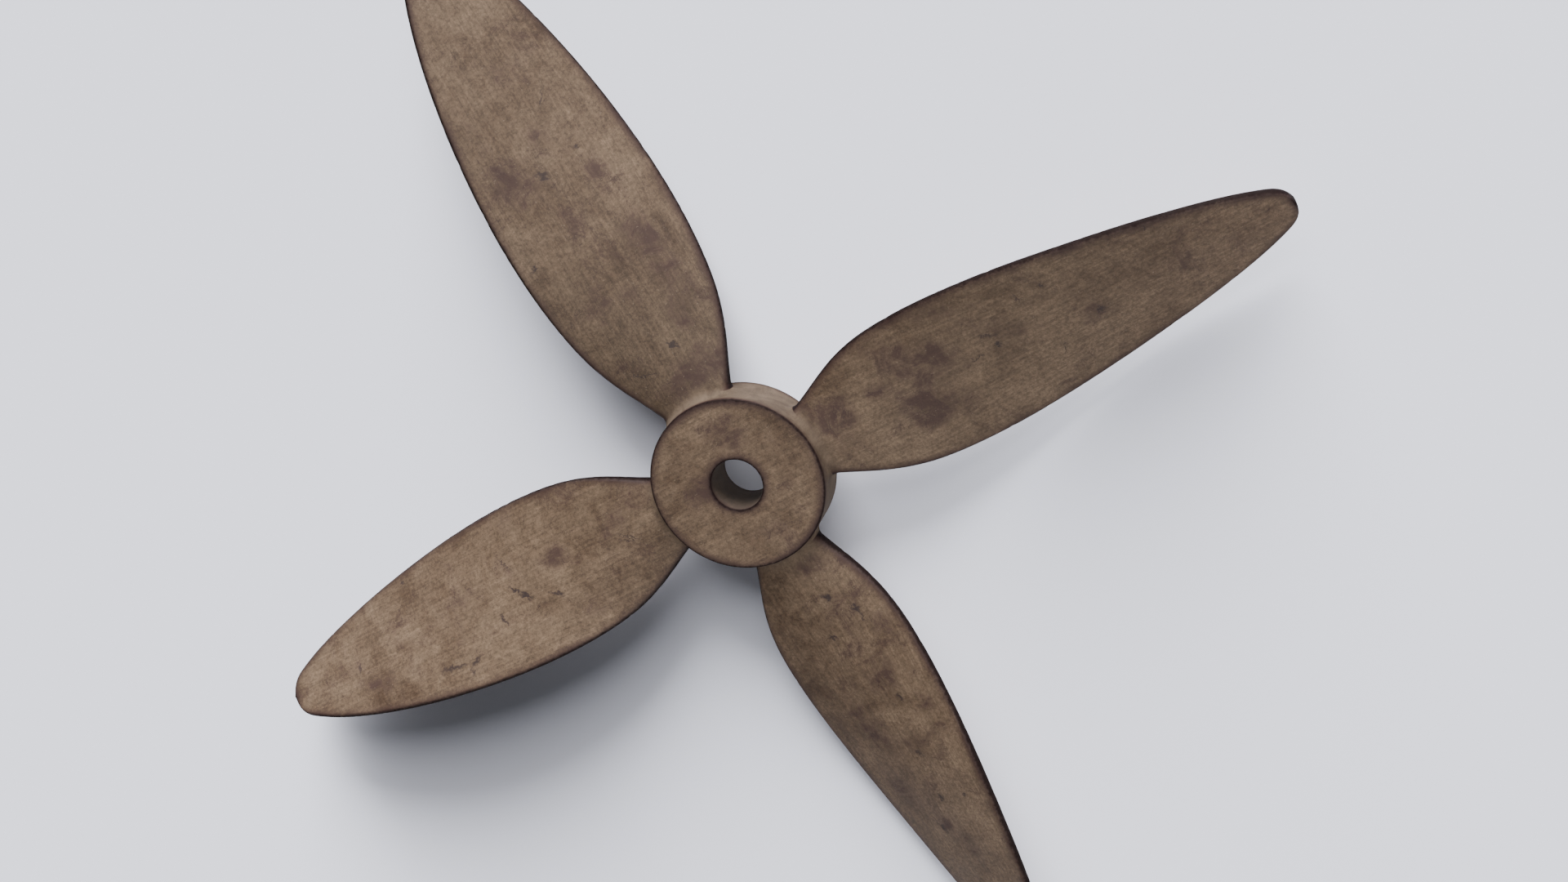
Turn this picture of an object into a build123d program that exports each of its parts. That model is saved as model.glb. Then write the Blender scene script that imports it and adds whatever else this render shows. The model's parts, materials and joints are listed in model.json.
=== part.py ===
"""Four-bladed laminated wooden propeller, 610 mm across, with a plain 27 mm bore.

Frame: millimetres, +Z along the shaft axis towards the front. The origin is on the shaft axis, in the
rear face of the hub. Blade 1 lies along +X and the others follow anticlockwise, seen from the front.

Seven layers of 7.4 mm board are glued face to face. The carved shape is made whole, and is then cut
along the glue planes and the butt joints, so that each board is a solid that meets its neighbours:

    layer 7   one leading lamination on each blade
    layer 6   the front hub facing, and one front lamination on each blade
    layer 5   a core plank through blades 2 and 4, and core stubs for blades 1 and 3
    layer 4   one core on each blade, mitred together round the bore
    layer 3   a core plank through blades 1 and 3, and core stubs for blades 2 and 4
    layer 2   the rear hub facing, and one rear lamination on each blade
    layer 1   one trailing lamination on each blade
"""
from build123d import *
from math import cos, pi, radians, sin, sqrt
import os

# ---- driving dimensions ----
TIP_RADIUS = 305.0
HUB_RADIUS = 45.5
HUB_LENGTH = 27.0
BORE_RADIUS = 13.5
BLADE_COUNT = 4

BOARD = 7.4                  # thickness of each layer; the middle of layer 4 is at half the hub's length
LAYER_COUNT = 7
BLADE_AXIS_Z = 14.0

# Plan form as (radius, chord). The chord is symmetric about the blade's axis.
PLAN_FORM = [(36, 33.0), (47, 42.5), (68, 62.5), (88, 76.3), (108, 83.0), (148, 86.7),
             (188, 82.3), (228, 71.0), (268, 51.2), (288, 36.3)]
TIP_TAPER = 0.42             # share of taper in the elliptical close beyond the last station
TIP_STATIONS = 6
TIP_SWEEP = 85.0             # degrees of the close that are lofted, which leaves a small flat at the tip

TWIST_MAX = 33.0             # degrees, with the leading edge towards the front
TWIST_START = 25.0           # radius where the twist begins
TWIST_END = 273.0            # radius where the twist is complete
TWIST_GROWTH = 1.14

ROOT_THICKNESS = 12.5        # at the middle of the chord
TIP_THICKNESS = 5.0
ROOT_EDGE = 9.0              # thickness of the rounded edge at the hub
BLADE_EDGE = 4.4             # and outboard of ROOT_EDGE_END
ROOT_EDGE_END = 100.0

ROOT_FILLET = 4.5            # where the blades run into the hub
RIM_ROUND = 0.8              # on the hub's two outer rims

CORE_HALF_WIDTH = 36.0       # half width of a core plank where the crossing stubs butt against it
FACING_HALF_WIDTH = 52.0     # the hub facings are square boards before carving


# ---- the carved shape ----
def twist_at(radius):
    u = (radius - TWIST_START) / (TWIST_END - TWIST_START)
    return TWIST_MAX * sin(pi / 2 * min(1.0, max(0.0, u)) ** TWIST_GROWTH)


def thickness_at(radius):
    u = (TIP_RADIUS - radius) / (TIP_RADIUS - HUB_RADIUS)
    return TIP_THICKNESS + (ROOT_THICKNESS - TIP_THICKNESS) * max(0.0, u) ** 1.5


def edge_at(radius):
    u = (ROOT_EDGE_END - radius) / (ROOT_EDGE_END - HUB_RADIUS)
    return BLADE_EDGE + (ROOT_EDGE - BLADE_EDGE) * max(0.0, u) ** 2


def tip_stations():
    """Stations that close the plan form elliptically, crowded towards the tip."""
    start, start_chord = PLAN_FORM[-1]
    stations = []
    for i in range(1, TIP_STATIONS + 1):
        u = sin(radians(TIP_SWEEP) * i / TIP_STATIONS)
        chord = start_chord * sqrt(1 - u * u) * (1 - TIP_TAPER * u * (1 - u))
        stations.append((start + (TIP_RADIUS - start) * u, chord))
    return stations


def blade_section(radius, chord):
    """Two crowned faces, tangent to the round edges that they run into, normal to the blade's axis."""
    edge_round = min(edge_at(radius), 0.8 * chord) / 2
    half_crown = min(thickness_at(radius) / 2, edge_round + 0.08 * chord)
    edge_centre = chord / 2 - edge_round
    face_round = (edge_centre ** 2 + half_crown ** 2 - edge_round ** 2) / (2 * (half_crown - edge_round))
    reach = edge_round / (face_round - edge_round)
    joint_y = edge_centre * (1 + reach)
    joint_z = (face_round - half_crown) * reach
    outline = [
        ThreePointArc((-joint_y, joint_z), (0, half_crown), (joint_y, joint_z)),
        ThreePointArc((joint_y, joint_z), (chord / 2, 0), (joint_y, -joint_z)),
        ThreePointArc((joint_y, -joint_z), (0, -half_crown), (-joint_y, -joint_z)),
        ThreePointArc((-joint_y, -joint_z), (-chord / 2, 0), (-joint_y, joint_z)),
    ]
    twist = radians(twist_at(radius))
    chordwise = (0, cos(twist), sin(twist))
    place = Plane(origin=(radius, 0, BLADE_AXIS_Z), x_dir=chordwise, z_dir=(1, 0, 0))
    return place * make_face(outline)


def blade():
    """Blade 1, from inside the hub to the tip."""
    return loft([blade_section(radius, chord) for radius, chord in PLAN_FORM + tip_stations()])


def is_root_corner(edge):
    """True for an edge where a blade meets the hub's wall."""
    if edge.geom_type == GeomType.LINE:
        return False
    points = [edge @ t for t in (0, 0.33, 0.66)]
    on_wall = all(abs(sqrt(p.X ** 2 + p.Y ** 2) - HUB_RADIUS) < 0.05 for p in points)
    off_rims = all(RIM_ROUND < p.Z < HUB_LENGTH - RIM_ROUND for p in points)
    return on_wall and off_rims


def carved_propeller():
    """The whole outside shape and the bore, in one solid. The hub's seam lies between two blades."""
    hub = Rot(0, 0, 45) * Pos(0, 0, HUB_LENGTH / 2) * Cylinder(HUB_RADIUS, HUB_LENGTH)
    body = fillet(hub.edges().filter_by(GeomType.CIRCLE), RIM_ROUND)
    first_blade = blade()
    for number in range(BLADE_COUNT):
        body = body + turned(first_blade, number)
    body = fillet(body.edges().filter_by(is_root_corner), ROOT_FILLET)
    return body - Cylinder(BORE_RADIUS, 4 * HUB_LENGTH)


# ---- cutting it into boards ----
def turned(piece, places):
    """A piece of blade 1, moved round to the blade that many places on."""
    return Rot(0, 0, 360 / BLADE_COUNT * places) * piece


def layer_base(layer):
    return HUB_LENGTH / 2 + BOARD * (layer - 1 - LAYER_COUNT / 2)


def layer_prism(layer, outline):
    """The space of one layer, within an outline of (x, y) points."""
    face = make_face(Polyline(outline, close=True))
    return Pos(0, 0, layer_base(layer)) * extrude(face, BOARD)


REACH = TIP_RADIUS + 10
CORE = CORE_HALF_WIDTH
FACING = FACING_HALF_WIDTH
FACING_SQUARE = [(-FACING, -FACING), (FACING, -FACING), (FACING, FACING), (-FACING, FACING)]
OUTBOARD = [(FACING, -FACING), (REACH, -FACING), (REACH, FACING), (FACING, FACING)]
MITRED = [(0, 0), (REACH, -REACH), (REACH, REACH)]
STUB = [(CORE, -CORE), (REACH, -REACH), (REACH, REACH), (CORE, CORE)]
PLANK = [(-REACH, -REACH), (-CORE, -CORE), (CORE, -CORE), (REACH, -REACH),
         (REACH, REACH), (CORE, CORE), (-CORE, CORE), (-REACH, REACH)]


def boards():
    """Every board by name."""
    body = carved_propeller()
    named = {
        "front_hub_facing": body & layer_prism(6, FACING_SQUARE),
        "rear_hub_facing": body & layer_prism(2, FACING_SQUARE),
        "core_plank_blades_1_and_3": body & layer_prism(3, PLANK),
        "core_plank_blades_2_and_4": body & turned(layer_prism(5, PLANK), 1),
    }
    front_stub = body & layer_prism(5, STUB)
    rear_stub = body & layer_prism(3, STUB)
    on_every_blade = {
        "leading_lamination": body & layer_prism(7, OUTBOARD),
        "front_lamination": body & layer_prism(6, OUTBOARD),
        "mitred_core": body & layer_prism(4, MITRED),
        "rear_lamination": body & layer_prism(2, OUTBOARD),
        "trailing_lamination": body & layer_prism(1, OUTBOARD),
    }
    for number in range(1, BLADE_COUNT + 1):
        stub = front_stub if number % 2 else rear_stub
        named[f"blade_{number}_core_stub"] = turned(stub, number - 1)
        for name, board in on_every_blade.items():
            named[f"blade_{number}_{name}"] = turned(board, number - 1)
    return named


os.makedirs("parts", exist_ok=True)
for node, board in boards().items():
    export_step(board, f"parts/{node}.step")
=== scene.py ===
"""The look of the four-bladed wooden propeller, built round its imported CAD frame.

Metres, in the part's frame: +Z along the shaft towards the front, origin in the hub's rear face. Lengths in
the geometry functions are millimetres until the mesh is made. The carved surface is made whole, and is then
cut along the same glue planes and joints as the CAD boards, so each board is a piece of its own.
"""

import json
from math import cos, pi, radians, sin

import bmesh
import bpy
import numpy as np
from mathutils import Matrix, Vector, noise


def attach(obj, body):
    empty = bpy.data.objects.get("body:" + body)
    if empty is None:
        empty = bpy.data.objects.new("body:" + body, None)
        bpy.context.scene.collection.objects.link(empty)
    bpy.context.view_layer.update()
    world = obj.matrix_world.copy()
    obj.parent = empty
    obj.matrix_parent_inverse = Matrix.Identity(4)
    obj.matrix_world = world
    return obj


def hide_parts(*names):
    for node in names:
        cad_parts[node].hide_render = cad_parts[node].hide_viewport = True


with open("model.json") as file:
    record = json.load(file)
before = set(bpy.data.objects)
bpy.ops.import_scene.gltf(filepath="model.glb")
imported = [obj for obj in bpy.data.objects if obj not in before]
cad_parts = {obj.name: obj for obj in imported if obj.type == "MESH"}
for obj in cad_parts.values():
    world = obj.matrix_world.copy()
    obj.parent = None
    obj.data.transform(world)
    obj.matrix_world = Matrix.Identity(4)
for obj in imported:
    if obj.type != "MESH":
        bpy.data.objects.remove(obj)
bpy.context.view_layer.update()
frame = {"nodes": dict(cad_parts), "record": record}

# ---- driving dimensions, the same as the CAD part's ----
TIP_RADIUS = 305.0
HUB_RADIUS = 45.5
HUB_LENGTH = 27.0
BORE_RADIUS = 13.5
BLADE_AXIS_Z = 14.0
PLAN_FORM = [(36, 33.0), (47, 42.5), (68, 62.5), (88, 76.3), (108, 83.0), (148, 86.7),
             (188, 82.3), (228, 71.0), (268, 51.2), (288, 36.3)]
TIP_TAPER = 0.42
TWIST_MAX, TWIST_START, TWIST_END, TWIST_GROWTH = 33.0, 25.0, 273.0, 1.14
ROOT_THICKNESS, TIP_THICKNESS = 12.5, 5.0
ROOT_EDGE, BLADE_EDGE, ROOT_EDGE_END = 9.0, 4.4, 100.0
ROOT_FILLET = 4.5
RIM_ROUND = 0.9
BORE_ROUND = 0.5
BOARD = 7.4
CORE_HALF_WIDTH = 36.0
FACING_REACH = 52.0          # the hub's facings end and the blades' boards begin here
GLUE_PLANES = [HUB_LENGTH / 2 + BOARD * (n - 2.5) for n in range(6)]
MM = 0.001                   # one millimetre in metres

# ---- hand carving: how deep it goes into the wood ----
WAVE_DEPTH, RIPPLE_DEPTH, HUB_RIPPLE_DEPTH, CHIP_DEPTH = 0.16, 0.06, 0.03, 0.5
CHIP_REACH = 4               # how far in from a blade's edge a chip goes

# How far apart the blades are in the grain's coordinates, so that no two have the same figure.
GRAIN_SHIFT = 97.0

# ---- mesh density ----
FACE_STEPS = 84              # across a blade's face, and along a quarter of the hub's rim
EDGE_STEPS = 14              # round a blade's edge, and up the hub's wall
FILLET_STEPS = 8
BLADE_STEPS = 250
WALL_STEPS = 14
TIP_STEPS = 7


# ---- the blade's form ----
def twist_at(r):
    u = np.clip((r - TWIST_START) / (TWIST_END - TWIST_START), 0, 1)
    return np.radians(TWIST_MAX) * np.sin(pi / 2 * u ** TWIST_GROWTH)


def thickness_at(r):
    u = np.clip((TIP_RADIUS - r) / (TIP_RADIUS - HUB_RADIUS), 0, None)
    return TIP_THICKNESS + (ROOT_THICKNESS - TIP_THICKNESS) * u ** 1.5


def edge_at(r):
    u = np.clip((ROOT_EDGE_END - r) / (ROOT_EDGE_END - HUB_RADIUS), 0, None)
    return BLADE_EDGE + (ROOT_EDGE - BLADE_EDGE) * u ** 2


def smooth_curve(knots, values, at):
    """Natural cubic spline through (knots, values)."""
    h = np.diff(knots)
    n = len(knots)
    m = np.zeros((n, n))
    rhs = np.zeros(n)
    m[0, 0] = m[-1, -1] = 1
    for i in range(1, n - 1):
        m[i, i - 1:i + 2] = h[i - 1], 2 * (h[i - 1] + h[i]), h[i]
        rhs[i] = 6 * ((values[i + 1] - values[i]) / h[i] - (values[i] - values[i - 1]) / h[i - 1])
    bend = np.linalg.solve(m, rhs)
    i = np.clip(np.searchsorted(knots, at, side="right") - 1, 0, n - 2)
    low, high, step = at - knots[i], knots[i + 1] - at, h[i]
    return ((bend[i] * high ** 3 + bend[i + 1] * low ** 3) / (6 * step)
            + (values[i] / step - bend[i] * step / 6) * high
            + (values[i + 1] / step - bend[i + 1] * step / 6) * low)


def plan_outline():
    """Radius and chord along the blade's outline, finely sampled, and the length along it."""
    start, start_chord = PLAN_FORM[-1]
    u = np.sin(np.radians(88.5) * np.arange(1, 13) / 12)
    tip = zip(start + (TIP_RADIUS - start) * u,
              start_chord * np.sqrt(1 - u * u) * (1 - TIP_TAPER * u * (1 - u)))
    stations = np.array(PLAN_FORM + list(tip), float)
    steps = np.hypot(np.diff(stations[:, 0]), np.diff(stations[:, 1] / 2))
    knots = np.concatenate([[0], np.cumsum(steps)])
    at = np.linspace(0, knots[-1], 4000)
    return smooth_curve(knots, stations[:, 0], at), smooth_curve(knots, stations[:, 1], at), at


OUTLINE_R, OUTLINE_CHORD, OUTLINE_LENGTH = plan_outline()


def section_points(r, chord, ring):
    """(chordwise, thicknesswise) of the section at radius r, at ring positions 0 to 4:
    0-1 front face from +chord to -chord, 1-2 the -chord edge, 2-3 rear face, 3-4 the +chord edge."""
    edge_round = np.minimum(edge_at(r), 0.8 * chord) / 2
    crown = np.minimum(thickness_at(r) / 2, edge_round + 0.08 * chord)
    centre = chord / 2 - edge_round
    face_round = (centre ** 2 + crown ** 2 - edge_round ** 2) / (2 * (crown - edge_round))
    half_sweep = np.arcsin(np.clip(centre / (face_round - edge_round), -1, 1))
    part = np.minimum(np.floor(ring), 3)
    t = ring - part
    across = (1 - 2 * (0.75 * t + 0.25 * (1 - np.cos(pi * t)) / 2)) * half_sweep
    around = half_sweep + t * (pi - 2 * half_sweep)
    face_c = face_round * np.sin(across)
    face_m = face_round * np.cos(across) - (face_round - crown)
    edge_c = -(centre + edge_round * np.sin(around))
    edge_m = edge_round * np.cos(around)
    c = np.where(part == 0, face_c, np.where(part == 1, edge_c, np.where(part == 2, -face_c, -edge_c)))
    m = np.where(part == 0, face_m, np.where(part == 1, edge_m, np.where(part == 2, -face_m, -edge_m)))
    return c, m


def blade_points(length, ring):
    """Points of blade 1 at lengths along the outline and ring positions, with radius and chordwise place."""
    r = np.interp(length, OUTLINE_LENGTH, OUTLINE_R)
    chord = np.interp(length, OUTLINE_LENGTH, OUTLINE_CHORD)
    c, m = section_points(r, chord, ring)
    a = twist_at(r)
    y = c * np.cos(a) - m * np.sin(a)
    z = BLADE_AXIS_Z + c * np.sin(a) + m * np.cos(a)
    return np.stack([r, y, z], -1), r, chord


def ring_positions():
    face = np.arange(FACE_STEPS) / FACE_STEPS
    edge = np.arange(EDGE_STEPS) / EDGE_STEPS
    return np.concatenate([face, 1 + edge, 2 + face, 3 + edge])


def on_wall(arc, z):
    return np.stack([HUB_RADIUS * np.cos(arc / HUB_RADIUS), HUB_RADIUS * np.sin(arc / HUB_RADIUS), z], -1)


def quarter_grid():
    """Rows of points from the frame on the hub's wall, up the root's round, and out to the tip of blade 1.
    Also the point that closes the tip."""
    ring = ring_positions()
    count = len(ring)
    meet = np.full(count, OUTLINE_LENGTH[0])
    for _ in range(12):
        p, r, _c = blade_points(meet, ring)
        meet = np.interp(np.sqrt(HUB_RADIUS ** 2 - p[:, 1] ** 2), OUTLINE_R, OUTLINE_LENGTH)
    corner, _r, _c = blade_points(meet, ring)
    ahead, _r, _c = blade_points(meet + 1.0, ring)
    out = ahead - corner
    out /= np.linalg.norm(out, axis=1)[:, None]
    arc = HUB_RADIUS * np.arctan2(corner[:, 1], corner[:, 0])
    loop = np.stack([arc, corner[:, 2]], -1)
    along = np.roll(loop, -1, 0) - np.roll(loop, 1, 0)
    away = np.stack([-along[:, 1], along[:, 0]], -1)
    away /= np.linalg.norm(away, axis=1)[:, None]
    if np.sum(away * (loop - loop.mean(0))) < 0:
        away = -away
    probe = on_wall(loop[:, 0] + away[:, 0], loop[:, 1] + away[:, 1]) - corner
    probe /= np.linalg.norm(probe, axis=1)[:, None]
    half_angle = np.arccos(np.clip(np.sum(out * probe, 1), -1, 1)) / 2
    reach = ROOT_FILLET / np.tan(half_angle)
    foot_flat = loop + away * reach[:, None]
    foot = on_wall(foot_flat[:, 0], foot_flat[:, 1])
    begin = np.interp(corner[:, 0] + reach * out[:, 0], OUTLINE_R, OUTLINE_LENGTH)
    head, _r, _c = blade_points(begin, ring)

    # the frame on the wall: corners of the quarter sit at the ring's four joints
    half_arc = HUB_RADIUS * pi / 4
    low, high = RIM_ROUND, HUB_LENGTH - RIM_ROUND
    t = ring - np.floor(ring)
    part = np.floor(ring)
    frame_arc = np.where(part == 0, half_arc * (1 - 2 * t), np.where(part == 1, -half_arc,
                np.where(part == 2, -half_arc * (1 - 2 * t), half_arc)))
    frame_z = np.where(part == 0, high, np.where(part == 1, high + (low - high) * t,
              np.where(part == 2, low, low + (high - low) * t)))
    rows = []
    for i in range(WALL_STEPS):
        s = i / WALL_STEPS
        a = frame_arc + (foot_flat[:, 0] - frame_arc) * s
        z = frame_z + (foot_flat[:, 1] - frame_z) * s
        rows.append(on_wall(a, z))
    weight = np.sin(half_angle)[:, None]
    for i in range(FILLET_STEPS):
        s = i / FILLET_STEPS
        b0, b1, b2 = (1 - s) ** 2, 2 * s * (1 - s) * weight, s * s
        rows.append((b0 * foot + b1 * corner + b2 * head) / (b0 + b1 + b2))
    end = OUTLINE_LENGTH[-1]
    for i in range(BLADE_STEPS + 1):
        s = i / BLADE_STEPS
        p, _r, _c = blade_points(begin + (end - begin) * s, ring)
        rows.append(p)
    last = rows[-1]
    middle = last.mean(0) + np.array([0.03, 0, 0])
    for i in range(1, TIP_STEPS):
        rows.append(last + (middle - last) * i / TIP_STEPS)
    return np.array(rows), middle


def hub_profile():
    """(radius, z) from the wall's front rim, over the front face, through the bore, to the rear rim."""
    def round_corner(r, z, size, start, steps):
        return [(r + size * cos(start + pi / 2 * i / steps), z + size * sin(start + pi / 2 * i / steps))
                for i in range(steps + 1)]
    front, inner, outer = HUB_LENGTH, BORE_RADIUS + BORE_ROUND, HUB_RADIUS - RIM_ROUND
    face = np.linspace(outer, inner, 32)[1:-1]
    wall = np.linspace(front - BORE_ROUND, BORE_ROUND, 20)[1:-1]
    rows = round_corner(outer, front - RIM_ROUND, RIM_ROUND, 0, 4)
    rows += [(r, front) for r in face]
    rows += [(inner - BORE_ROUND * sin(pi / 2 * i / 3), front - BORE_ROUND * (1 - cos(pi / 2 * i / 3)))
             for i in range(4)]
    rows += [(BORE_RADIUS, z) for z in wall]
    rows += [(inner - BORE_ROUND * cos(pi / 2 * i / 3), BORE_ROUND * (1 - sin(pi / 2 * i / 3)))
             for i in range(4)]
    rows += [(r, 0.0) for r in face[::-1]]
    rows += [(outer + RIM_ROUND * sin(pi / 2 * i / 4), RIM_ROUND * (1 - cos(pi / 2 * i / 4)))
             for i in range(5)]
    return rows


def turn(points, quarter):
    a = pi / 2 * quarter
    x, y, z = points[..., 0], points[..., 1], points[..., 2]
    return np.stack([x * cos(a) - y * sin(a), x * sin(a) + y * cos(a), z], -1)


def whole_surface():
    """The whole carved surface as one closed bmesh, in millimetres."""
    rows, tip = quarter_grid()
    count_rows, count_ring = rows.shape[:2]
    points, faces = [], []
    base = 0
    for quarter in range(4):
        points.append(turn(rows, quarter).reshape(-1, 3))
        points.append(turn(tip[None], quarter))
        tip_index = base + count_rows * count_ring
        i, j = np.meshgrid(np.arange(count_rows - 1), np.arange(count_ring), indexing="ij")
        k = (j + 1) % count_ring
        quads = np.stack([base + i * count_ring + j, base + (i + 1) * count_ring + j,
                          base + (i + 1) * count_ring + k, base + i * count_ring + k], -1)
        faces += quads.reshape(-1, 4).tolist()
        last = base + (count_rows - 1) * count_ring
        faces += [[last + n, tip_index, last + (n + 1) % count_ring] for n in range(count_ring)]
        base = tip_index + 1
    profile = np.array(hub_profile())
    around = 4 * FACE_STEPS
    angle = pi / 4 - 2 * pi * np.arange(around) / around
    ring = np.stack([np.cos(angle), np.sin(angle)], -1)
    for r, z in profile:
        points.append(np.concatenate([ring * r, np.full((around, 1), z)], 1))
    i, j = np.meshgrid(np.arange(len(profile) - 1), np.arange(around), indexing="ij")
    k = (j + 1) % around
    quads = np.stack([base + i * around + j, base + i * around + k,
                      base + (i + 1) * around + k, base + (i + 1) * around + j], -1)
    faces += quads.reshape(-1, 4).tolist()
    mesh = bpy.data.meshes.new("carved")
    mesh.from_pydata(np.concatenate(points).tolist(), [], faces)
    bm = bmesh.new()
    bm.from_mesh(mesh)
    bpy.data.meshes.remove(mesh)
    bmesh.ops.remove_doubles(bm, verts=bm.verts, dist=2e-3)
    bmesh.ops.recalc_face_normals(bm, faces=bm.faces)
    return bm


# ---- stains, marks, and painted light and shade ----
# Soft stains as (blade, radius, chordwise place, half length, half width, slant in degrees, strength).
# Blade 0 is the hub's front face, where the first two numbers are x and y.
STAINS = [
    (1, 115, 14, 16, 12, 20, 1.0), (1, 108, -10, 14, 9, -20, 1.0), (1, 96, -3, 9, 9, 0, 0.8),
    (1, 92, 32, 6, 5, 0, 0.6), (1, 87, 9, 6, 6, 0, 0.6), (1, 133, 34, 16, 7, -15, 0.8),
    (1, 150, 30, 8, 5, 0, 0.6), (1, 160, 10, 14, 6, -20, 0.7), (1, 202, -3, 7, 5, 30, 0.9),
    (1, 60, 2, 9, 15, 0, 0.6), (1, 113, 3, 15, 14, 0, 0.6), (1, 130, 8, 12, 10, 0, 0.5),
    (1, 225, 8, 12, 5, 10, 0.4),
    (2, 180, 18, 17, 9, 30, 0.75), (2, 170, -17, 6, 5, 20, 0.6), (2, 216, 29, 11, 7, 0, 0.7),
    (2, 198, -2, 7, 6, 0, 0.6), (2, 127, -22, 15, 8, 20, 0.75), (2, 109, -20, 11, 8, 0, 0.8),
    (2, 90, -19, 9, 7, 0, 0.9), (2, 108, 0, 7, 6, 0, 0.7), (2, 112, 17, 14, 8, 0, 0.5),
    (2, 60, -12, 9, 12, 0, 0.8), (2, 54, 9, 6, 10, 0, 0.5), (2, 235, 4, 14, 12, 0, 0.4),
    (3, 116, -7, 9, 7, 10, 0.6), (3, 147, -13, 4, 10, 30, 0.5), (3, 179, -5, 14, 9, 0, 0.4),
    (3, 190, 2, 5, 20, 0, 0.45), (3, 247, 16, 10, 7, 0, 0.7), (3, 105, 25, 9, 6, 20, 0.6),
    (3, 134, -35, 14, 5, 0, 0.5), (3, 257, 2, 4, 8, 0, 0.5), (3, 70, -12, 12, 8, 0, 0.4),
    (4, 123, 13, 8, 14, 0, 0.8), (4, 100, 30, 7, 7, 0, 0.6), (4, 144, 31, 7, 6, 0, 0.6),
    (4, 153, -12, 18, 8, 15, 0.8), (4, 167, 9, 7, 8, 0, 0.6), (4, 194, -20, 14, 8, 10, 0.9),
    (4, 216, -3, 7, 10, 20, 0.6), (4, 234, 4, 14, 7, 0, 0.6), (4, 54, 7, 8, 12, 0, 0.6),
    (0, -20, 6, 9, 7, 30, 0.9), (0, 9, 25, 10, 6, -40, 0.7), (0, 16, 31, 8, 4, -20, 0.5),
    (0, 27, 13, 6, 5, 0, 0.4), (0, -8, -29, 9, 6, 0, 0.5),
]

# Painted light and shade: a factor on the wood's brightness along each blade, at the radii of the first table
# below. It lightens blade 1's tip, whose face turns away from the lamps, and darkens the roots, blade 2's
# most.
LIGHT_AND_SHADE_RADII = (45, 90, 150, 210, 260, 305)
LIGHT_AND_SHADE_BY_BLADE = {1: (0.95, 0.95, 0.9, 0.95, 1.1, 1.2), 2: (0.65, 0.75, 1.0, 1.0, 1.0, 1.0),
        3: (0.9, 0.95, 1.0, 1.0, 1.0, 1.0), 4: (0.9, 0.95, 1.0, 1.0, 1.0, 1.0)}

# Small dark marks and scratches, in the same form as the stains.
MARKS = [
    (1, 152, 5, 1.6, 1.2, 0, 0.8), (1, 150, 12, 5.0, 0.5, -30, 0.5), (1, 177, -16, 4.0, 0.35, 60, 0.6),
    (1, 173, 23, 4.0, 0.35, -70, 0.5), (1, 187, 25, 1.2, 0.9, 0, 0.6), (1, 243, 29, 1.6, 0.6, 60, 0.8),
    (1, 140, 3, 4.0, 0.4, 10, 0.5), (1, 203, -4, 2.5, 1.4, 40, 0.6),
    (2, 180, 7, 3.0, 1.6, 50, 0.7), (2, 212, -12, 7.0, 0.35, -38, 0.5), (2, 143, 35, 2.4, 1.0, -50, 0.7),
    (2, 76, -6, 3.2, 1.1, 50, 0.75), (2, 70, 16, 8.0, 0.4, 71, 0.6), (2, 184, -14, 1.0, 0.8, 0, 0.6),
    (3, 146, 1, 4.0, 0.9, -32, 0.85), (3, 141, 6, 4.0, 1.3, -40, 0.85), (3, 124, 12, 4.2, 0.8, -25, 0.65),
    (3, 159, 13, 4.2, 0.8, -75, 0.7), (3, 198, 25, 8.5, 1.1, -8, 0.7), (3, 184, 27, 4.2, 1.1, 30, 0.75),
    (3, 188, 31, 1.5, 1.1, 0, 0.6), (3, 257, 2, 3.0, 0.8, 80, 0.5), (3, 71, 1, 6.5, 0.35, -32, 0.6),
    (3, 72, 3, 5.0, 0.35, -28, 0.5), (3, 147, -14, 6.5, 0.5, -58, 0.4), (3, 215, -31, 1.4, 1.6, 0, 0.5),
    (4, 75, 8, 2.4, 1.5, 20, 0.8), (4, 86, 19, 1.9, 1.6, 0, 0.8), (4, 91, 20, 4.0, 0.7, 12, 0.5),
    (4, 96, -1, 2.6, 0.9, 60, 0.65), (4, 138, 16, 2.6, 1.1, 20, 0.6), (4, 171, 8, 1.8, 1.5, 0, 0.5),
    (4, 199, 4, 2.2, 1.6, 0, 0.7), (4, 200, 22, 1.7, 1.2, 0, 0.6), (4, 218, -9, 3.4, 1.2, 30, 0.65),
]


# ---- where a point is on the object ----
def blade_place(co):
    """For each point: the blade it belongs to (0 to 3), its radius and chordwise place on that blade,
    its height from the blade's mean plane, and its distance in from the blade's edge."""
    angle = np.arctan2(co[:, 1], co[:, 0])
    quarter = np.round(angle / (pi / 2)).astype(int) % 4
    a = -pi / 2 * quarter
    r = co[:, 0] * np.cos(a) - co[:, 1] * np.sin(a)
    y = co[:, 0] * np.sin(a) + co[:, 1] * np.cos(a)
    h = co[:, 2] - BLADE_AXIS_Z
    t = twist_at(r)
    chord = np.interp(r, OUTLINE_R, OUTLINE_CHORD)
    c = y * np.cos(t) + h * np.sin(t)
    m = -y * np.sin(t) + h * np.cos(t)
    inward = chord / 2 - np.abs(c)
    tip = np.where(r > 270, np.hypot(TIP_RADIUS - r, 0), 99.0)
    return quarter, r, c, m, np.minimum(inward, tip)


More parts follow.
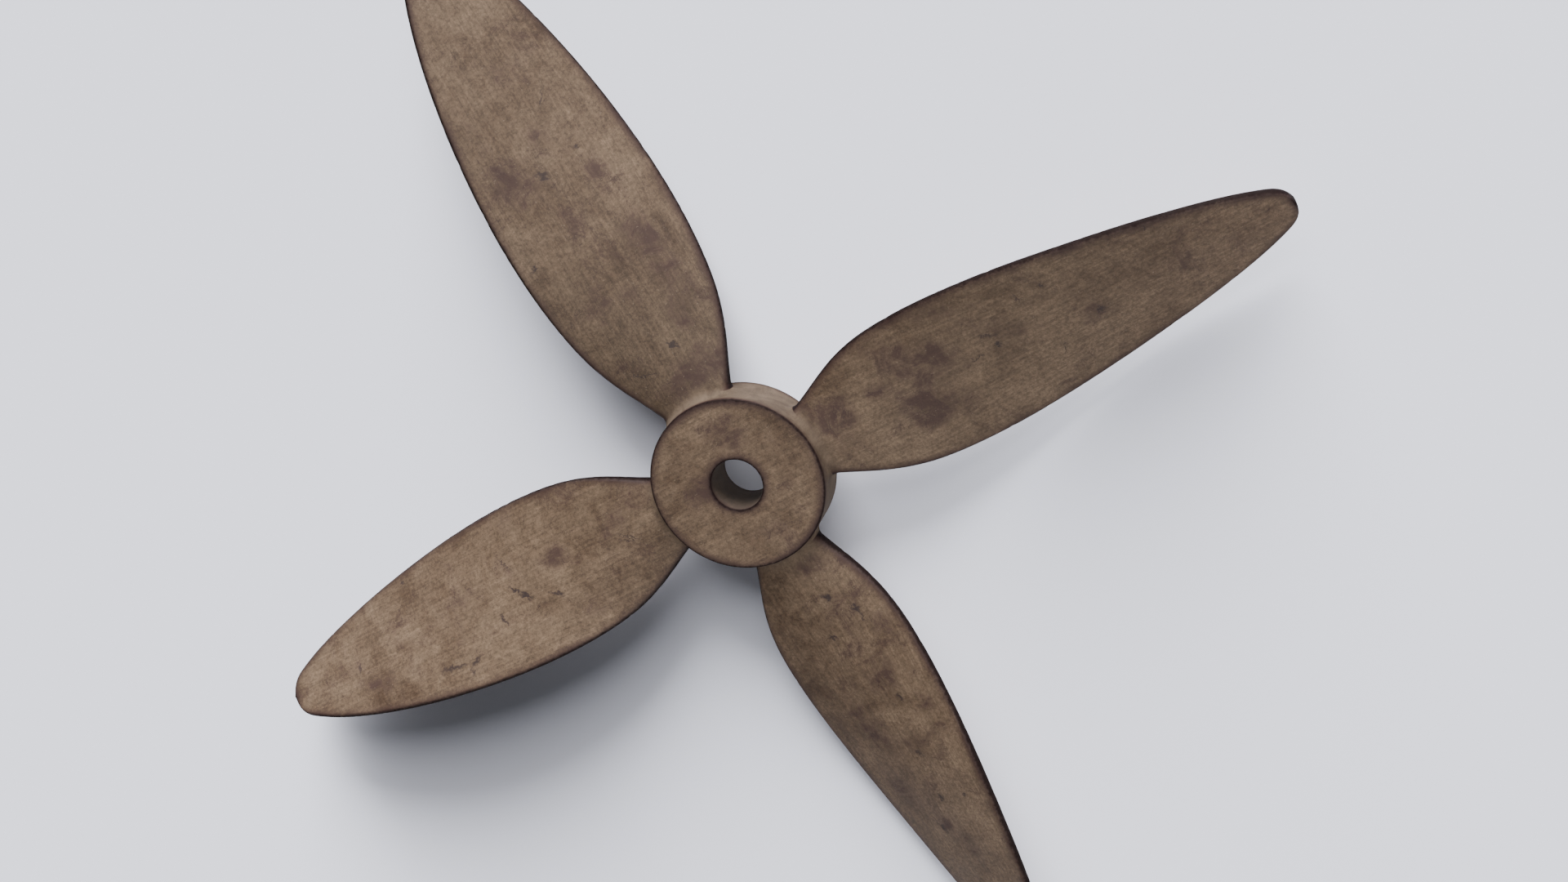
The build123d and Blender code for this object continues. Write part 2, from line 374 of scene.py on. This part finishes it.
def relief(bm):
    """Hand-carved unevenness and small chips in the blades' edges. It only takes wood away."""
    bm.normal_update()
    co = np.array([v.co for v in bm.verts])
    quarter, r, c, _m, inward = blade_place(co)
    out = np.hypot(co[:, 0], co[:, 1])
    on_blade = np.clip((out - HUB_RADIUS - 1) / 12, 0, 1)
    for i, v in enumerate(bm.verts):
        p = Vector((co[i, 0], co[i, 1], co[i, 2] * 1.5))
        wave = 0.5 + 0.5 * noise.noise(p / 31.0)
        ripple = 0.5 + 0.5 * noise.noise(p / 9.0 + Vector((7.1, 3.3, 9.7)))
        depth = on_blade[i] * (WAVE_DEPTH * wave + RIPPLE_DEPTH * ripple)
        depth += (1 - on_blade[i]) * HUB_RIPPLE_DEPTH * ripple
        if on_blade[i] > 0 and inward[i] < CHIP_REACH:
            nick = noise.noise(Vector((r[i] / 3.2, 5.0 * np.sign(c[i]) + 11.0 * quarter[i], 0.4)))
            chip = max(0.0, nick - 0.30) * CHIP_DEPTH
            depth += on_blade[i] * chip * (1 - max(0.0, inward[i]) / CHIP_REACH) ** 1.5
        v.co -= v.normal * depth


def cut(bm, inside, point, normal):
    """Cuts the faces that are inside a region along a plane."""
    faces = [f for f in bm.faces if inside(f.calc_center_median())]
    edges = {e for f in faces for e in f.edges}
    verts = {v for f in faces for v in f.verts}
    bmesh.ops.bisect_plane(bm, geom=list(verts) + list(edges) + faces, dist=1e-4,
                           plane_co=point, plane_no=normal)


def cut_at_joints(bm):
    for z in GLUE_PLANES:
        bmesh.ops.bisect_plane(bm, geom=bm.verts[:] + bm.edges[:] + bm.faces[:], dist=1e-4,
                               plane_co=(0, 0, z), plane_no=(0, 0, 1))
    _, low_z, low_top, high_z, high_top, _ = GLUE_PLANES
    near, far, half = CORE_HALF_WIDTH - 6, CORE_HALF_WIDTH + 6, CORE_HALF_WIDTH - 4
    for side in (-1, 1):
        def in_high_joint(p):
            return high_z < p.z < high_top and near < side * p.x < far and abs(p.y) < half

        def in_low_joint(p):
            return low_z < p.z < low_top and near < side * p.y < far and abs(p.x) < half
        cut(bm, in_high_joint, (side * CORE_HALF_WIDTH, 0, 0), (1, 0, 0))
        cut(bm, in_low_joint, (0, side * CORE_HALF_WIDTH, 0), (0, 1, 0))


def board_names(centre):
    """The board that each face belongs to, from the faces' centres."""
    layer = np.searchsorted(GLUE_PLANES, centre[:, 2]) + 1
    quarter = np.round(np.arctan2(centre[:, 1], centre[:, 0]) / (pi / 2)).astype(int) % 4
    out = np.maximum(np.abs(centre[:, 0]), np.abs(centre[:, 1]))
    names = []
    for n in range(len(centre)):
        q, far = quarter[n], out[n] > FACING_REACH
        stub = out[n] > CORE_HALF_WIDTH
        if layer[n] == 7:
            name = f"blade_{q + 1}_leading_lamination"
        elif layer[n] == 6:
            name = f"blade_{q + 1}_front_lamination" if far else "front_hub_facing"
        elif layer[n] == 5:
            name = f"blade_{q + 1}_core_stub" if stub and q % 2 == 0 else "core_plank_blades_2_and_4"
        elif layer[n] == 4:
            name = f"blade_{q + 1}_mitred_core"
        elif layer[n] == 3:
            name = f"blade_{q + 1}_core_stub" if stub and q % 2 == 1 else "core_plank_blades_1_and_3"
        elif layer[n] == 2:
            name = f"blade_{q + 1}_rear_lamination" if far else "rear_hub_facing"
        else:
            name = f"blade_{q + 1}_trailing_lamination"
        names.append(name)
    return np.array(names)


def marks(co):
    """Per-point attributes for the finish, painted light and shade among them, from where the point is."""
    quarter, r, c, m, inward = blade_place(co)
    out = np.hypot(co[:, 0], co[:, 1])
    blade = np.clip((out - HUB_RADIUS) / 9.0, 0, 1)
    blade = blade * blade * (3 - 2 * blade)
    grain = np.stack([r, c, m + GRAIN_SHIFT * (quarter + 1)], -1) * MM
    end_face = (np.minimum(co[:, 2], HUB_LENGTH - co[:, 2]) < 0.3) & (out < HUB_RADIUS - 0.2)
    from_rim = np.minimum(np.abs(HUB_RADIUS - out), np.abs(out - BORE_RADIUS))
    down = np.minimum(HUB_LENGTH - co[:, 2], co[:, 2])
    hub_edge = np.where(end_face, from_rim, np.maximum(down, 0) * 1.4)
    edge = np.where(out > HUB_RADIUS + 1.5, inward, hub_edge)
    stain = np.zeros(len(co))
    front = np.clip(m / 2.0, 0, 1)
    for number, u, v, half_length, half_width, slant, strength in STAINS:
        on_hub = number == 0
        du, dv = (co[:, 0] - u, co[:, 1] - v) if on_hub else (r - u, c - v)
        cs, sn = cos(radians(slant)), sin(radians(slant))
        far = ((du * cs + dv * sn) / half_length) ** 2 + ((dv * cs - du * sn) / half_width) ** 2
        here = end_face * (co[:, 2] > 1) if on_hub else front * (quarter == number - 1) * blade
        stain = np.maximum(stain, strength * np.exp(-0.45 * far) * here)
    # painted light and shade along each blade, faded out towards the hub
    painted_light_and_shade = np.ones(len(co))
    for number, values in LIGHT_AND_SHADE_BY_BLADE.items():
        there = (quarter == number - 1) & (out > HUB_RADIUS)
        painted_light_and_shade = np.where(there, np.interp(r, LIGHT_AND_SHADE_RADII, values), painted_light_and_shade)
    painted_light_and_shade = 1 + (painted_light_and_shade - 1) * blade
    return {"painted_light_and_shade": painted_light_and_shade, "stain": stain, "grain": grain, "blade": blade, "edge": edge,
            "face": end_face.astype(float), "bore": np.clip((BORE_RADIUS + 0.9 - out) / 0.6, 0, 1)}


def make_boards(material_of):
    bm = whole_surface()
    relief(bm)
    cut_at_joints(bm)
    bm.normal_update()
    bm.verts.index_update()
    co = np.array([v.co for v in bm.verts])
    normals = np.array([v.normal for v in bm.verts])
    corners = [[v.index for v in f.verts] for f in bm.faces]
    centre = np.array([co[ids].mean(0) for ids in corners])
    bm.free()
    names = board_names(centre)
    slots = {s["node"]: s["material_slot"] for s in frame["record"]["subparts"]}
    boards = []
    for node in sorted(frame["nodes"]):
        picked = np.flatnonzero(names == node)
        used = np.unique(np.concatenate([corners[f] for f in picked]))
        place = {old: new for new, old in enumerate(used)}
        mesh = bpy.data.meshes.new(node + ".look")
        mesh.from_pydata((co[used] * MM).tolist(), [],
                         [[place[i] for i in corners[f]] for f in picked])
        for name, values in marks(co[used]).items():
            kind = "FLOAT_VECTOR" if values.ndim == 2 else "FLOAT"
            layer = mesh.attributes.new(name, kind, "POINT")
            layer.data.foreach_set("vector" if values.ndim == 2 else "value",
                                   values.astype(np.float32).ravel())
        mesh.polygons.foreach_set("use_smooth", [True] * len(mesh.polygons))
        mesh.normals_split_custom_set_from_vertices(normals[used].tolist())
        board = bpy.data.objects.new(node + ".look", mesh)
        bpy.context.scene.collection.objects.link(board)
        mesh.materials.append(material_of[slots[node]])
        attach(board, "root")
        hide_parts(node)
        boards.append(board)
    return boards


# ---- finishes ----
class Graph:
    """Short calls for a material's node graph. Numbers and colours go straight on the sockets."""

    def __init__(self, name):
        self.material = bpy.data.materials.new(name)
        self.material.use_nodes = True
        self.nodes = self.material.node_tree.nodes
        self.links = self.material.node_tree.links
        self.shader = self.nodes["Principled BSDF"]

    def put(self, socket, value):
        if isinstance(value, bpy.types.NodeSocket):
            self.links.new(value, socket)
        else:
            socket.default_value = value

    def add(self, kind, out=0, settings=(), **inputs):
        node = self.nodes.new(kind)
        for key, value in dict(settings).items():
            setattr(node, key, value)
        for key, value in inputs.items():
            name = key.replace("_", " ")
            self.put(node.inputs[name if name in node.inputs else int(key[1:])], value)
        return node.outputs[out]

    def math(self, operation, a, b=0.0, clamp=False):
        return self.add("ShaderNodeMath", settings={"operation": operation, "use_clamp": clamp}, n0=a, n1=b)

    def scaled(self, vector, scale, rotation=(0, 0, 0)):
        return self.add("ShaderNodeMapping", Vector=vector, Scale=scale, Rotation=rotation)

    def noise(self, vector, scale, detail=4.0, roughness=0.55, distortion=0.0):
        return self.add("ShaderNodeTexNoise", Vector=vector, Scale=scale, Detail=detail,
                        Roughness=roughness, Distortion=distortion)

    def ramp(self, value, low, high, to_low=0.0, to_high=1.0):
        return self.add("ShaderNodeMapRange", settings={"interpolation_type": "SMOOTHSTEP"}, Value=value,
                        From_Min=low, From_Max=high, To_Min=to_low, To_Max=to_high)

    def mix(self, factor, a, b, blend="MIX"):
        node = self.nodes.new("ShaderNodeMix")
        node.data_type = "RGBA"
        node.blend_type = blend
        sockets = [s for s in node.inputs if s.enabled]
        for socket, value in zip(sockets, (factor, a, b)):
            self.put(socket, value)
        return [s for s in node.outputs if s.enabled][0]

    def blend(self, factor, a, b):
        """a to b as plain numbers."""
        node = self.nodes.new("ShaderNodeMix")
        node.data_type = "FLOAT"
        sockets = [s for s in node.inputs if s.enabled]
        for socket, value in zip(sockets, (factor, a, b)):
            self.put(socket, value)
        return [s for s in node.outputs if s.enabled][0]

    def mark(self, name, vector=False):
        node = self.nodes.new("ShaderNodeAttribute")
        node.attribute_name = name
        return node.outputs["Vector" if vector else "Fac"]


DARK_WOOD = (0.042, 0.0255, 0.0158, 1)
LIGHT_WOOD = (0.1245, 0.087, 0.0577, 1)


def spot_masks(g, fine):
    """Dark marks of the table MARKS, as one mask. The points are shifted a little so that they are uneven."""
    total = 0.0
    for blade, r, c, half_length, half_width, slant, strength in MARKS:
        local = g.add("ShaderNodeMapping", settings={"vector_type": "TEXTURE"}, Vector=fine,
                      Location=(r * MM, c * MM, blade * GRAIN_SHIFT * MM + 0.006),
                      Rotation=(0, 0, radians(slant)),
                      Scale=(half_length * 0.0013, half_width * 0.0016, 0.011))
        far = g.add("ShaderNodeVectorMath", out=1, settings={"operation": "LENGTH"}, n0=local)
        mask = g.ramp(far, 0.35, 1.15, strength ** 0.6, 0.0)
        total = mask if total == 0.0 else g.math("MAXIMUM", total, mask)
    return total


def wood(name):
    g = Graph(name)
    place = g.add("ShaderNodeTexCoord", out=3)
    grain = g.mark("grain", vector=True)
    blade, edge, face, bore = g.mark("blade"), g.mark("edge"), g.mark("face"), g.mark("bore")
    stained, painted_light_and_shade = g.mark("stain"), g.mark("painted_light_and_shade")

    # mottling, from broad clouds down to the fine grain of the stain
    clouds = g.noise(place, 17.0, 5.0, 0.62, 0.4)
    patches = g.noise(place, 62.0, 10.0, 0.76, 0.6)
    pores = g.noise(place, 540.0, 6.0, 0.85)

    # fine brushed lines along each blade, and slantwise over the hub's face
    along = g.scaled(grain, (34.0, 780.0, 300.0), rotation=(0, 0, 0.17))
    lines_blade = g.noise(along, 1.0, 6.0, 0.7, 0.3)
    across = g.scaled(place, (34.0, 780.0, 300.0), rotation=(0, 0, radians(64)))
    lines_face = g.noise(across, 1.0, 6.0, 0.7, 0.3)
    lines_wall = g.noise(g.scaled(place, (160.0, 160.0, 30.0)), 1.0, 4.0, 0.6)
    lines = g.blend(blade, g.blend(face, lines_wall, lines_face), lines_blade)

    tone = g.math("ADD", g.math("MULTIPLY", clouds, 0.46), g.math("MULTIPLY", patches, 0.54))
    tone = g.add("ShaderNodeMapRange", Value=tone, From_Min=0.36, From_Max=0.63, To_Min=0.0, To_Max=1.0)
    colour = g.mix(tone, DARK_WOOD, LIGHT_WOOD)
    shade = g.math("MULTIPLY", g.ramp(pores, 0.32, 0.68, 0.62, 1.36), g.ramp(lines, 0.3, 0.7, 0.80, 1.20))
    # painted light and shade along each blade, multiplied into the wood's tone
    shade = g.math("MULTIPLY", shade, painted_light_and_shade)
    shade = g.add("ShaderNodeCombineColor", Red=shade, Green=shade, Blue=shade)
    colour = g.mix(1.0, colour, shade, "MULTIPLY")

    # dark stains: those of the table STAINS, and others where the noise is high
    blots = g.noise(place, 34.0, 10.0, 0.74, 0.6)
    wild = g.ramp(blots, 0.53, 0.68, 0.0, 0.8)
    uneven = g.math("MULTIPLY", g.math("SUBTRACT", g.blend(0.45, blots, patches), 0.5), 3.8)
    placed = g.ramp(g.math("ADD", stained, uneven), 0.25, 1.15)
    placed = g.math("MULTIPLY", placed, g.ramp(stained, 0.06, 0.36))
    placed = g.math("MULTIPLY", placed, g.ramp(patches, 0.36, 0.60, 0.40, 1.45))
    placed = g.math("MULTIPLY", placed, g.ramp(pores, 0.34, 0.62, 0.60, 1.20), clamp=True)
    blot = g.math("MAXIMUM", wild, placed)
    colour = g.mix(g.math("MULTIPLY", blot, 0.84), colour, (0.0307, 0.0162, 0.0147, 1))

    # short dark fibres along the grain, thin wandering cracks, and pale flecks
    fibres = g.noise(g.scaled(grain, (210.0, 900.0, 300.0), rotation=(0, 0, 0.5)), 1.0, 3.0, 0.6, 1.5)
    fibres = g.math("MULTIPLY", g.ramp(fibres, 0.62, 0.72, 0.0, 0.65), g.ramp(clouds, 0.4, 0.6, 1.0, 0.3))
    colour = g.mix(g.math("MULTIPLY", fibres, blade), colour, (0.03, 0.0188, 0.0158, 1))
    crack = g.math("ABSOLUTE", g.math("SUBTRACT", g.noise(place, 95.0, 4.0, 0.62, 0.9), 0.5))
    crack = g.math("MULTIPLY", g.ramp(crack, 0.0, 0.012, 0.6, 0.0), g.ramp(blots, 0.46, 0.56))
    colour = g.mix(crack, colour, (0.024, 0.0142, 0.0135, 1))
    flecks = g.ramp(g.noise(place, 760.0, 2.0, 0.5), 0.67, 0.74, 0.0, 0.22)
    colour = g.mix(flecks, colour, (0.225, 0.1725, 0.1275, 1))

    # marks and scratches
    ruffle = g.noise(place, 520.0, 3.0, 0.6)
    ruffle = g.add("ShaderNodeCombineXYZ", X=g.ramp(ruffle, 0.2, 0.8, -0.0016, 0.0016),
                   Y=g.ramp(g.noise(place, 430.0, 3.0, 0.6), 0.2, 0.8, -0.0016, 0.0016), Z=0.0)
    fine = g.add("ShaderNodeVectorMath", settings={"operation": "ADD"}, n0=grain, n1=ruffle)
    spots = spot_masks(g, fine)
    colour = g.mix(spots, colour, (0.0188, 0.0128, 0.0135, 1))

    # the hub's smooth wall, painted paler and greyer: partly the wood's own lighter tone, partly a painted
    # sheen of the light that grazes it
    wall = g.math("MULTIPLY", g.math("SUBTRACT", 1.0, blade), g.math("SUBTRACT", 1.0, face))
    wall = g.math("MULTIPLY", wall, g.math("SUBTRACT", 1.0, bore))
    pale_wall_and_sheen = g.mix(g.ramp(patches, 0.36, 0.64), (0.054, 0.0398, 0.0292, 1), (0.093, 0.0698, 0.0518, 1))
    colour = g.mix(g.math("MULTIPLY", wall, 0.85), colour, pale_wall_and_sheen)
    # the bore's wall, coloured darker and greyer: partly the wood's own tone, partly painted shade of the
    # deep bore
    colour = g.mix(g.math("MULTIPLY", bore, 0.6), colour, (0.042, 0.0345, 0.03, 1))

    # scorched edges, with an uneven inner border
    ragged = g.noise(place, 420.0, 6.0, 0.78)
    broad = g.noise(place, 30.0, 3.0, 0.5)
    depth = g.math("SUBTRACT", edge, g.math("MULTIPLY", ragged, 2.8))
    singe = g.math("MULTIPLY", g.ramp(depth, -0.5, 4.8, 1.0, 0.0), g.ramp(broad, 0.35, 0.65, 0.40, 0.95))
    halo = g.ramp(depth, -1.2, 1.5, 1.0, 0.0)
    char = g.ramp(depth, -1.3, 0.1, 1.0, 0.0)
    colour = g.mix(singe, colour, (0.0292, 0.0158, 0.0135, 1))
    colour = g.mix(g.math("MULTIPLY", halo, 0.8), colour, (0.015, 0.0063, 0.0057, 1))
    colour = g.mix(g.math("MULTIPLY", char, 0.9), colour, (0.006, 0.003, 0.003, 1))
    g.put(g.shader.inputs["Base Color"], colour)

    rough = g.ramp(g.math("ADD", patches, g.math("MULTIPLY", lines, 0.5)), 0.5, 1.0, 0.50, 0.66)
    rough = g.math("ADD", rough, g.math("MULTIPLY", g.math("MAXIMUM", char, wall), 0.15))
    g.put(g.shader.inputs["Roughness"], rough)
    g.put(g.shader.inputs["Specular IOR Level"], g.ramp(g.math("MAXIMUM", char, wall), 0.0, 1.0, 0.20, 0.07))

    height = g.math("ADD", g.math("MULTIPLY", lines, 0.6), g.math("MULTIPLY", pores, 0.4))
    height = g.math("SUBTRACT", height, g.math("MULTIPLY", spots, 0.8))
    bump = g.add("ShaderNodeBump", Height=height, Strength=0.3, Distance=0.00025)
    g.put(g.shader.inputs["Normal"], bump)
    return g.material


def paper():
    g = Graph("studio_floor")
    place = g.add("ShaderNodeTexCoord", out=3)
    tooth = g.noise(place, 900.0, 2.0, 0.5)
    colour = g.mix(tooth, (0.76, 0.78, 0.885, 1), (0.78, 0.80, 0.905, 1))
    g.put(g.shader.inputs["Base Color"], colour)
    g.put(g.shader.inputs["Roughness"], 0.85)
    g.put(g.shader.inputs["Specular IOR Level"], 0.2)
    return g.material


# ---- the studio ----
# The camera's directions to its right, up and back, and its place.
RIGHT = Vector((0.824416, -0.510190, -0.245041))
UP = Vector((0.414111, 0.838857, -0.353315))
BACK = Vector((0.385812, 0.189804, 0.902842))
EYE = Vector((0.448946, 0.213184, 0.996861))
FLOOR_Z = -0.011
FLOOR_HALF_WIDTH, FLOOR_STEPS = 60.0, 48


def make_floor():
    steps = FLOOR_STEPS
    line = np.linspace(-FLOOR_HALF_WIDTH, FLOOR_HALF_WIDTH, steps + 1)
    x, y = np.meshgrid(line, line, indexing="ij")
    points = np.stack([x.ravel(), y.ravel(), np.full(x.size, FLOOR_Z)], -1)
    faces = [[i * (steps + 1) + j, (i + 1) * (steps + 1) + j, (i + 1) * (steps + 1) + j + 1,
              i * (steps + 1) + j + 1] for i in range(steps) for j in range(steps)]
    mesh = bpy.data.meshes.new("floor")
    mesh.from_pydata(points.tolist(), [], faces)
    mesh.materials.append(paper())
    floor = bpy.data.objects.new("floor", mesh)
    bpy.context.scene.collection.objects.link(floor)
    return floor


def sun(name, source, strength, spread, only=None):
    """Soft light from a direction. If a collection is given, it lights only what is in it."""
    light = bpy.data.lights.new(name, "SUN")
    light.energy = strength
    light.angle = radians(spread)
    light.color = (1.0, 0.99, 0.985)
    lamp = bpy.data.objects.new(name, light)
    bpy.context.scene.collection.objects.link(lamp)
    lamp.location = source.normalized() * 2.5
    lamp.rotation_euler = source.to_track_quat("Z", "Y").to_euler()
    if only:
        lamp.light_linking.receiver_collection = only


def from_top(elevation, turn_right=0.0):
    """The direction beyond the picture's top, so high above the floor, and turned to its right."""
    away = Vector((UP.x, UP.y, 0)).normalized()
    side = Vector((away.y, -away.x, 0))
    level, turned = radians(elevation), radians(turn_right)
    return (away * cos(turned) + side * sin(turned)) * cos(level) + Vector((0, 0, sin(level)))


def make_studio(boards, floor):
    """The camera, the lamps and the world. The floor and the boards have lamps of their own."""
    camera = bpy.data.cameras.new("camera")
    camera.lens = 50
    camera.sensor_width = 36
    camera.clip_end = 50
    eye = bpy.data.objects.new("camera", camera)
    bpy.context.scene.collection.objects.link(eye)
    turned = Matrix((RIGHT, UP, BACK)).transposed().to_4x4()
    eye.matrix_world = Matrix.Translation(EYE) @ turned
    bpy.context.scene.camera = eye
    lit_floor = bpy.data.collections.new("lit_floor")
    lit_floor.objects.link(floor)
    lit_wood = bpy.data.collections.new("lit_wood")
    for board in boards:
        lit_wood.objects.link(board)
    sun("floor_low", from_top(12, -2), 20.0, 38, lit_floor)
    sun("floor_high", from_top(24), 5.5, 60, lit_floor)
    sun("wood_low", from_top(12, -2), 10.0, 40, lit_wood)
    sun("wood_top", from_top(35), 1.6, 70, lit_wood)
    sun("wood_front", BACK - UP * 0.6 + RIGHT * 0.2, 3.4, 80, lit_wood)
    sun("wood_back", -BACK, 4.0, 80, lit_wood)
    sun("bounce", from_top(20, 180), 0.25, 40)
    world = bpy.data.worlds.new("studio")
    world.use_nodes = True
    sky = world.node_tree.nodes["Background"]
    sky.inputs["Color"].default_value = (0.93, 0.95, 1.0, 1)
    sky.inputs["Strength"].default_value = 0.06
    bpy.context.scene.world = world


boards = make_boards({"blade_wood": wood("blade_wood"), "hub_wood": wood("hub_wood")})
make_studio(boards, make_floor())
